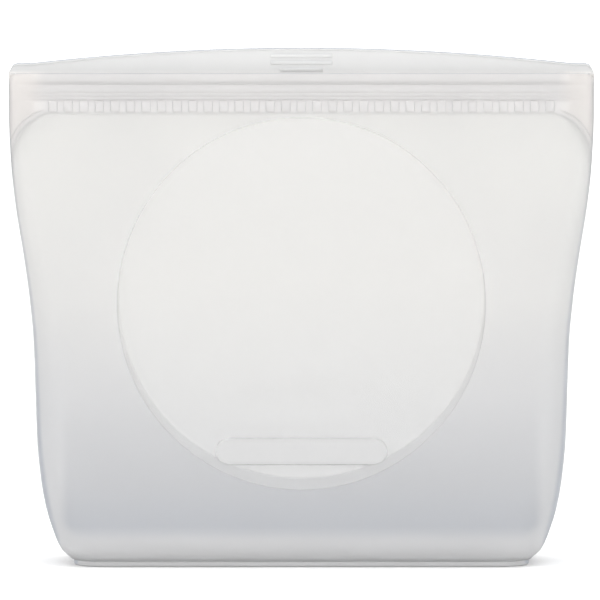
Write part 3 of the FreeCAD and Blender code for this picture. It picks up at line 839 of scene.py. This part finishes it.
def spread(nodes, links, source, low, high, to_low=0.0, to_high=1.0):
    """A value moved from one range to another, and held at its ends, as a socket."""
    node = nodes.new("ShaderNodeMapRange")
    node.interpolation_type = "SMOOTHSTEP"
    for name, value in (("From Min", low), ("From Max", high), ("To Min", to_low), ("To Max", to_high)):
        node.inputs[name].default_value = value
    links.new(source, node.inputs["Value"])
    return node.outputs["Result"]


def place_parts(nodes, links):
    """The place on the piece, in metres: the distance to the side, and the height."""
    split = nodes.new("ShaderNodeSeparateXYZ")
    links.new(nodes.new("ShaderNodeTexCoord").outputs["Object"], split.inputs[0])
    return math_node(nodes, links, "ABSOLUTE", split.outputs["X"]), split.outputs["Z"]


# %% [markdown]
# Real silicone is never one even colour. Noise gives the slow clouds and the fine grain, a colour ramp
# gives the change with height, and a mix lays one tint over another.

# %% Noise and tints
def noise(nodes, links, scale, detail=4.0):
    """Noise over the piece, as a socket."""
    texture = nodes.new("ShaderNodeTexNoise")
    texture.inputs["Scale"].default_value = scale
    texture.inputs["Detail"].default_value = detail
    links.new(nodes.new("ShaderNodeTexCoord").outputs["Object"], texture.inputs["Vector"])
    return texture.outputs["Fac"]


def tint_ramp(nodes, links, source, stops, reach):
    """Colours by height: each stop is a height in mm and a colour."""
    mixer = nodes.new("ShaderNodeValToRGB")
    elements = mixer.color_ramp.elements
    while len(elements) < len(stops):
        elements.new(0.5)
    for element, (height, colour) in zip(elements, stops):
        element.position = height / reach
        element.color = (*colour, 1.0)
    share = nodes.new("ShaderNodeMapRange")
    share.inputs["From Max"].default_value = reach * MM
    links.new(source, share.inputs["Value"])
    links.new(share.outputs["Result"], mixer.inputs["Fac"])
    return mixer.outputs["Color"]


def mix_tint(nodes, links, share, tint, other):
    """One tint mixed into another by a share; the other is a plain colour."""
    mixer = nodes.new("ShaderNodeMix")
    mixer.data_type = "RGBA"
    links.new(share, mixer.inputs["Factor"])
    links.new(tint, mixer.inputs["A"])
    mixer.inputs["B"].default_value = (*other, 1.0)
    return mixer.outputs["Result"]


# %% [markdown]
# A bump only tilts the light on a surface, so it is kept for grain and creases too fine to model.

# %% Bump, and putting a finish on
def bump_from(nodes, links, shader, height, distance, strength=1.0, under=None):
    """A bump on the surface from a height, over another bump if there is one."""
    bump = nodes.new("ShaderNodeBump")
    bump.inputs["Strength"].default_value = strength
    bump.inputs["Distance"].default_value = distance
    links.new(height, bump.inputs["Height"])
    if under:
        links.new(under, bump.inputs["Normal"])
    links.new(bump.outputs["Normal"], shader.inputs["Normal"])
    return bump.outputs["Normal"]


def put_on(material, slot, *made):
    """Puts a material on pieces. The slot name is not used."""
    for piece in made:
        piece.data.materials.clear()
        piece.data.materials.append(material)
    print(material.name, "on", [piece.name for piece in made])


# %% [markdown]
# The pocket inside the bag has rounded top corners, where the two walls run together into the ears.
# On the outside they show as a soft crease: a shallow bump, with painted shade along it. It is drawn by
# measure: how far a point lies outside a rectangle with rounded corners, then a narrow band on either side
# of that line. The same measure parts the warmer, solid ears from the cooler wall.

# %% Pocket outline
POCKET_SIDE, POCKET_TOP, POCKET_ROUND = 103.4, 161.3, 15.4


def past_corner(nodes, links, across, along, rounding):
    """How far a point lies outside a rounded corner, from its distances past the corner's middle."""
    across = math_node(nodes, links, "MAXIMUM", across, 0.0)
    along = math_node(nodes, links, "MAXIMUM", along, 0.0)
    squares = [math_node(nodes, links, "POWER", distance, 2.0) for distance in (across, along)]
    length = math_node(nodes, links, "SQRT", math_node(nodes, links, "ADD", squares[0], squares[1]))
    return math_node(nodes, links, "SUBTRACT", length, rounding * MM)


def past_pocket(nodes, links, side, height):
    """How far a point lies outside the pocket's rounded top corners, in metres."""
    across = math_node(nodes, links, "SUBTRACT", side, (POCKET_SIDE - POCKET_ROUND) * MM)
    above = math_node(nodes, links, "SUBTRACT", height, (POCKET_TOP - POCKET_ROUND) * MM)
    return past_corner(nodes, links, across, above, POCKET_ROUND)


def crease(nodes, links, past, half):
    """1 on the pocket's outline, falling to 0 a little way to each side."""
    return spread(nodes, links, math_node(nodes, links, "ABSOLUTE", past), 0.0, half * MM, 1.0, 0.0)


print("pocket's corners start", POCKET_SIDE - POCKET_ROUND, "mm to each side of the middle")

# %% [markdown]
# The tints deepen towards the foot. Part of that is where the silicone is thickest, and part is painted
# shade where less light reaches the low part of the bag. Just above the foot the tints are lighter again.
# Low down, the rounded sides are painted lighter than the flat of each wall, as painted light coming through
# the side walls. Along the bag's outline a dark tint is painted where the surface turns away to the side,
# most of all low down. It is painted shade for the much longer way through the silicone there. A thin dark
# line of painted shade also runs along the flap's top edge. These shares come from the surface's own
# direction and place, never from where the camera stands.

# %% Tints of the frosted silicone, with painted light and shade
# height in mm and colour: darker towards the foot, partly thicker silicone and partly painted shade
WALL_TINTS_AND_SHADE = (
    (0.0, (0.58, 0.58, 0.585)),
    (1.8, (0.62, 0.62, 0.625)),
    (2.8, (0.80, 0.80, 0.805)),
    (9.0, (0.79, 0.79, 0.80)),
    (15.0, (0.62, 0.635, 0.665)),
    (30.0, (0.67, 0.675, 0.69)),
    (60.0, (0.76, 0.76, 0.765)),
    (95.0, (0.83, 0.825, 0.815)),
    (150.0, (0.85, 0.845, 0.83)),
)
BAND_TINT = (0.905, 0.893, 0.888)
LIP_TINT = (0.80, 0.79, 0.785)
EAR_TINT = (0.94, 0.915, 0.895)
FLAP_TINT = (0.72, 0.72, 0.715)
CREASE_SHADE_TINT = (0.78, 0.775, 0.77)
SIDE_LIGHT_TINT = (0.79, 0.79, 0.795)
OUTLINE_SHADE_TINT = (0.33, 0.37, 0.44)
CLOUD_TINT = (0.62, 0.63, 0.65)
PANEL_SIDE, PANEL_FOOT, PANEL_ROUND = 83.0, 12.5, 6.0

# where one tint gives way to the next: ranges of height and of distance to the side, in metres
SIDE_LIGHT_END = (0.030, 0.095)
LIP_START = (0.1712, 0.1724)
FLAP_START = (0.1752, 0.1772)
EAR_START = (0.091, 0.098)


def past_panel(nodes, links, side, height):
    """How far a point lies outside the flat of the wall, with its rounded lower corners, in metres."""
    across = math_node(nodes, links, "SUBTRACT", side, (PANEL_SIDE - PANEL_ROUND) * MM)
    above = math_node(nodes, links, "SUBTRACT", height, (PANEL_FOOT + PANEL_ROUND) * MM)
    below = math_node(nodes, links, "MULTIPLY", above, -1.0)
    return past_corner(nodes, links, across, below, PANEL_ROUND)


def outline_shade_share(nodes, links, height):
    """The share of painted shade: high at the bag's outline, most of all low down, and in a line along the
    flap's edge.
    """
    split = nodes.new("ShaderNodeSeparateXYZ")
    links.new(nodes.new("ShaderNodeNewGeometry").outputs["Normal"], split.inputs[0])
    sideways = math_node(nodes, links, "ABSOLUTE", split.outputs["X"])
    rising = spread(nodes, links, sideways, 0.80, 0.93)
    falling = spread(nodes, links, sideways, 0.95, 1.0, 1.0, 0.45)
    turned = math_node(nodes, links, "MULTIPLY", rising, falling)
    by_height = spread(nodes, links, height, 0.02, 0.14, 0.6, 0.3)
    turned = math_node(nodes, links, "MULTIPLY", turned, by_height)
    # painted shade: a thin dark line along the flap's top edge, where the surface faces up
    upward = spread(nodes, links, split.outputs["Z"], 0.2, 0.7, 0.0, 0.75)
    on_top = math_node(nodes, links, "MULTIPLY", upward, spread(nodes, links, height, 0.1745, 0.1755))
    return math_node(nodes, links, "MAXIMUM", turned, on_top)


print("wall tints:", len(WALL_TINTS_AND_SHADE), "from the foot up to", WALL_TINTS_AND_SHADE[-1][0], "mm")

# %% [markdown]
# The frosted finish lays all of these over one another, from the wall up: the tint by height with its
# painted shade, the painted light on the lower sides, the zip band, the lip, the ears, the flap, the creases
# with their painted shade, faint clouds and the painted shade along the outline. Its last bump is the fine
# grain that a blasted mould leaves.

# %% The frosted finish
GRAIN, GRAIN_DEEP = 2600.0, 0.00003
CREASE_HALF, CREASE_DEEP = 0.8, 0.00018
OUTER_CREASE_HALF, OUTER_CREASE_PAST = 0.5, 0.0018


def frosted(name, clear, rough, band_tint=BAND_TINT, flap_tint=FLAP_TINT, side_light_share=0.8):
    """Frosted silicone, tinted by its place with painted light and shade, with a crease round the pocket and
    a fine grain.
    """
    material, nodes, links, shader = new_material(name)
    side, height = place_parts(nodes, links)
    tint = tint_ramp(nodes, links, height, WALL_TINTS_AND_SHADE, 150.0)
    # painted light: the rounded sides low down are painted lighter, for light coming through the side walls
    low_down = spread(nodes, links, height, *SIDE_LIGHT_END, side_light_share, 0.0)
    outside = spread(nodes, links, past_panel(nodes, links, side, height), -0.0005, 0.004)
    outside = math_node(nodes, links, "MULTIPLY", outside, low_down)
    tint = mix_tint(nodes, links, outside, tint, SIDE_LIGHT_TINT)
    past = past_pocket(nodes, links, side, height)
    tint = mix_tint(nodes, links, spread(nodes, links, past, 0.0, 0.0012), tint, band_tint)
    tint = mix_tint(nodes, links, spread(nodes, links, height, *LIP_START), tint, LIP_TINT)
    near_side = spread(nodes, links, side, *EAR_START)
    in_ear = math_node(nodes, links, "MULTIPLY", near_side, spread(nodes, links, past, 0.0, 0.003))
    tint = mix_tint(nodes, links, in_ear, tint, EAR_TINT)
    tint = mix_tint(nodes, links, spread(nodes, links, height, *FLAP_START), tint, flap_tint)
    line = crease(nodes, links, past, CREASE_HALF)
    past_line = math_node(nodes, links, "SUBTRACT", past, OUTER_CREASE_PAST)
    outer_line = crease(nodes, links, past_line, OUTER_CREASE_HALF)
    near_ear = spread(nodes, links, side, 0.091, 0.095)
    outer_line = math_node(nodes, links, "MULTIPLY", outer_line, near_ear)
    line = math_node(nodes, links, "MAXIMUM", line, outer_line)
    # painted shade in the crease round the pocket, and in a second line near the ears
    tint = mix_tint(nodes, links, math_node(nodes, links, "MULTIPLY", line, 0.5), tint, CREASE_SHADE_TINT)
    cloudy = spread(nodes, links, noise(nodes, links, 24.0), 0.4, 0.75, 0.0, 0.08)
    tint = mix_tint(nodes, links, cloudy, tint, CLOUD_TINT)
    # painted shade along the bag's outline and the flap's top edge
    tint = mix_tint(nodes, links, outline_shade_share(nodes, links, height), tint, OUTLINE_SHADE_TINT)
    links.new(tint, shader.inputs["Base Color"])
    cloud = spread(nodes, links, noise(nodes, links, 60.0), 0.0, 1.0, rough - 0.07, rough + 0.07)
    links.new(cloud, shader.inputs["Roughness"])
    shader.inputs["IOR"].default_value = SILICONE_IOR
    shader.inputs["Transmission Weight"].default_value = clear
    dip = math_node(nodes, links, "MULTIPLY", line, -1.0)
    under = bump_from(nodes, links, shader, dip, CREASE_DEEP)
    bump_from(nodes, links, shader, noise(nodes, links, GRAIN), GRAIN_DEEP, 0.2, under)
    return material


# %% [markdown]
# Thin pieces let more light through and thick ones less, so the zip is clearer than the wall, and the
# foot and the ribs are more solid. Otherwise they are all the same silicone.

# %% Put the frosted finishes on
frosted_wall = frosted("frosted_silicone", 0.6, 0.42)
put_on(frosted_wall, "frosted_silicone", front_skin, back_skin)
solid_silicone = frosted("solid_silicone", 0.2, 0.42, side_light_share=0.0)
put_on(solid_silicone, "frosted_silicone", foot_plate)
put_on(frosted_wall, "frosted_silicone", pinch_row, left_wing, right_wing, pull_tab)
THIN_TINT, RIB_TINT = (0.95, 0.94, 0.935), (0.9, 0.9, 0.895)
thin_silicone = frosted("thin_silicone", 0.8, 0.34, band_tint=THIN_TINT, flap_tint=THIN_TINT)
put_on(thin_silicone, "frosted_silicone", zip_channel, zip_tongues)
raised_silicone = frosted("raised_silicone", 0.45, 0.4, flap_tint=RIB_TINT)
put_on(raised_silicone, "frosted_silicone", grip_ribs)
put_on(frosted_wall, "frosted_silicone", left_core, right_core)

# %% [markdown]
# The windows are polished: low roughness, no grain, and only a soft ripple in the bump. They stay a little
# milky, as clear silicone does, so a share of the light still scatters back. The tint of each window changes
# with height. The back window is painted darker towards its foot: painted shade for the dim inside of the
# bag seen through it.

# %% Clear windows
def polished(name, foot_tint, top_tint, clear):
    """Clear polished silicone, a little hazy, with the faint ripple of a hand-polished mould."""
    material, nodes, links, shader = new_material(name)
    height = place_parts(nodes, links)[1]
    low, middle = (foot_tint,) * 3, (foot_tint + 0.01,) * 3
    high = (top_tint, top_tint - 0.005, top_tint - 0.015)
    tints = ((0.0, low), (45.0, middle), (100.0, high), (150.0, high))
    links.new(tint_ramp(nodes, links, height, tints, 150.0), shader.inputs["Base Color"])
    haze = spread(nodes, links, noise(nodes, links, 25.0), 0.0, 1.0, 0.06, 0.14)
    links.new(haze, shader.inputs["Roughness"])
    shader.inputs["IOR"].default_value = SILICONE_IOR
    shader.inputs["Transmission Weight"].default_value = clear
    bump_from(nodes, links, shader, noise(nodes, links, 90.0), 0.00015, 0.15)
    return material


put_on(polished("clear_front_silicone", 0.905, 0.853, 0.8), "window_silicone", front_window)
# painted shade: the back window's tint darkens towards its foot
put_on(polished("clear_back_silicone", 0.62, 0.86, 0.82), "window_silicone", back_window)

# %% [markdown]
# The tab and the wings are one moulding, and so are the windows and their walls. There is no surface
# between them, so the faces where they touch get a finish that can't be seen, and the bag looks whole.

# %% Joined faces
JOINT_REACH = 0.04
joined, _, _, joined_shader = new_material("joined_face")
joined_shader.inputs["Alpha"].default_value = 0.0


def hide_joined(piece, measure):
    """Hides the faces of a piece whose corners all measure nothing, in mm, from a joint."""
    piece.data.materials.append(joined)
    points = [measure(vertex.co / MM) for vertex in piece.data.vertices]
    hidden = [f for f in piece.data.polygons if all(abs(points[i]) < JOINT_REACH for i in f.vertices)]
    for face in hidden:
        face.material_index = 1
    print(piece.name, "joined faces", len(hidden))


def from_tab_end(place):
    """How far a point is from the ends of the tab."""
    return abs(place.x) - TAB_HALF_X


def from_window_rim(place):
    """How far a point is from the rim of the round window."""
    return math.hypot(place.x, place.z - WINDOW_Z) - WINDOW_RADIUS


for piece in (left_wing, right_wing, pull_tab):
    hide_joined(piece, from_tab_end)
for piece in (front_skin, back_skin, front_window, back_window):
    hide_joined(piece, from_window_rim)

# %% [markdown]
# The label bar is matt, so that it reads against the polished window, and greyer because it is thicker.

# %% Label bar finish
LABEL_TINTS = ((0.0, (0.66, 0.66, 0.66)), (60.0, (0.69, 0.69, 0.69)))
MOTTLE_TINT = (0.62, 0.62, 0.625)


def matt_bar(name):
    """The same silicone, matt and a little mottled."""
    material, nodes, links, shader = new_material(name)
    mottle = spread(nodes, links, noise(nodes, links, 300.0), 0.0, 1.0)
    height = place_parts(nodes, links)[1]
    tint = tint_ramp(nodes, links, height, LABEL_TINTS, 60.0)
    share = math_node(nodes, links, "MULTIPLY", mottle, 0.3)
    links.new(mix_tint(nodes, links, share, tint, MOTTLE_TINT), shader.inputs["Base Color"])
    shader.inputs["Roughness"].default_value = 0.5
    shader.inputs["IOR"].default_value = SILICONE_IOR
    shader.inputs["Transmission Weight"].default_value = 0.35
    bump_from(nodes, links, shader, noise(nodes, links, GRAIN), GRAIN_DEEP, 0.2)
    return material


put_on(matt_bar("label_silicone"), "label_silicone", label_bar)

# %% [markdown]
# ## Floor, light and camera
# The bag stands on a plain white floor in a bright white room. Translucent things are lit mostly by
# what is behind them, so the room does most of the work. The Standard view transform keeps its white.

# %% Floor and room
FLOOR_HALF = 3000
ROOM_STRENGTH = 1.37

floor_bm = bmesh.new()
bmesh.ops.create_grid(floor_bm, x_segments=1, y_segments=1, size=FLOOR_HALF)
floor = finish_piece(floor_bm, "floor")
floor_white, _, _, floor_shader = new_material("floor_white")
floor_shader.inputs["Base Color"].default_value = (0.93, 0.93, 0.93, 1)
floor_shader.inputs["Roughness"].default_value = 0.7
floor.data.materials.append(floor_white)

world = bpy.data.worlds.new("white_room")
world.use_nodes = True
world.node_tree.nodes["Background"].inputs["Color"].default_value = (1.0, 1.0, 1.0, 1)
world.node_tree.nodes["Background"].inputs["Strength"].default_value = ROOM_STRENGTH
bpy.context.scene.world = world
bpy.context.scene.view_settings.view_transform = "Standard"
print("white room, strength", ROOM_STRENGTH)

# %% [markdown]
# Three large soft lamps model the front: one above, one to the left and a weaker one to the right.
# Small hard lamps would put sharp spots on the windows.

# %% Lamps
def lamp(name, place, size, power):
    """A soft square lamp that faces the middle of the bag."""
    light = bpy.data.lights.new(name, "AREA")
    light.size = size
    light.energy = power
    made = bpy.data.objects.new(name, light)
    made.location = place
    aim = Vector((0, 0, 0.09)) - Vector(place)
    made.rotation_euler = aim.to_track_quat("-Z", "Y").to_euler()
    bpy.context.scene.collection.objects.link(made)
    print(name, size, "m wide,", power, "W")


lamp("top_lamp", (0.0, -0.35, 1.1), 0.9, 1.9)
lamp("left_lamp", (-0.9, -0.7, 0.6), 0.6, 1.7)
lamp("right_lamp", (0.9, -0.7, 0.5), 0.6, 1.1)

# %% [markdown]
# A long lens looks at the bag almost level, a little from above, as bags like this are usually shown.
# Far off and zoomed in, it keeps the sides straight and both windows nearly the same size.

# %% Camera
LENS = 434.0
DISTANCE = 2.6
ELEVATION = math.radians(3.7)
AIM = Vector((-0.0005, 0.0, 0.0942))
lens_camera = bpy.data.cameras.new("level_camera")
lens_camera.sensor_width = 36.0
lens_camera.lens = LENS
camera = bpy.data.objects.new("level_camera", lens_camera)
camera.location = AIM + DISTANCE * Vector((0, -math.cos(ELEVATION), math.sin(ELEVATION)))
camera.rotation_euler = (AIM - camera.location).to_track_quat("-Z", "Y").to_euler()
bpy.context.scene.collection.objects.link(camera)
bpy.context.scene.camera = camera
print("camera", DISTANCE, "m away, lens", LENS, "mm")
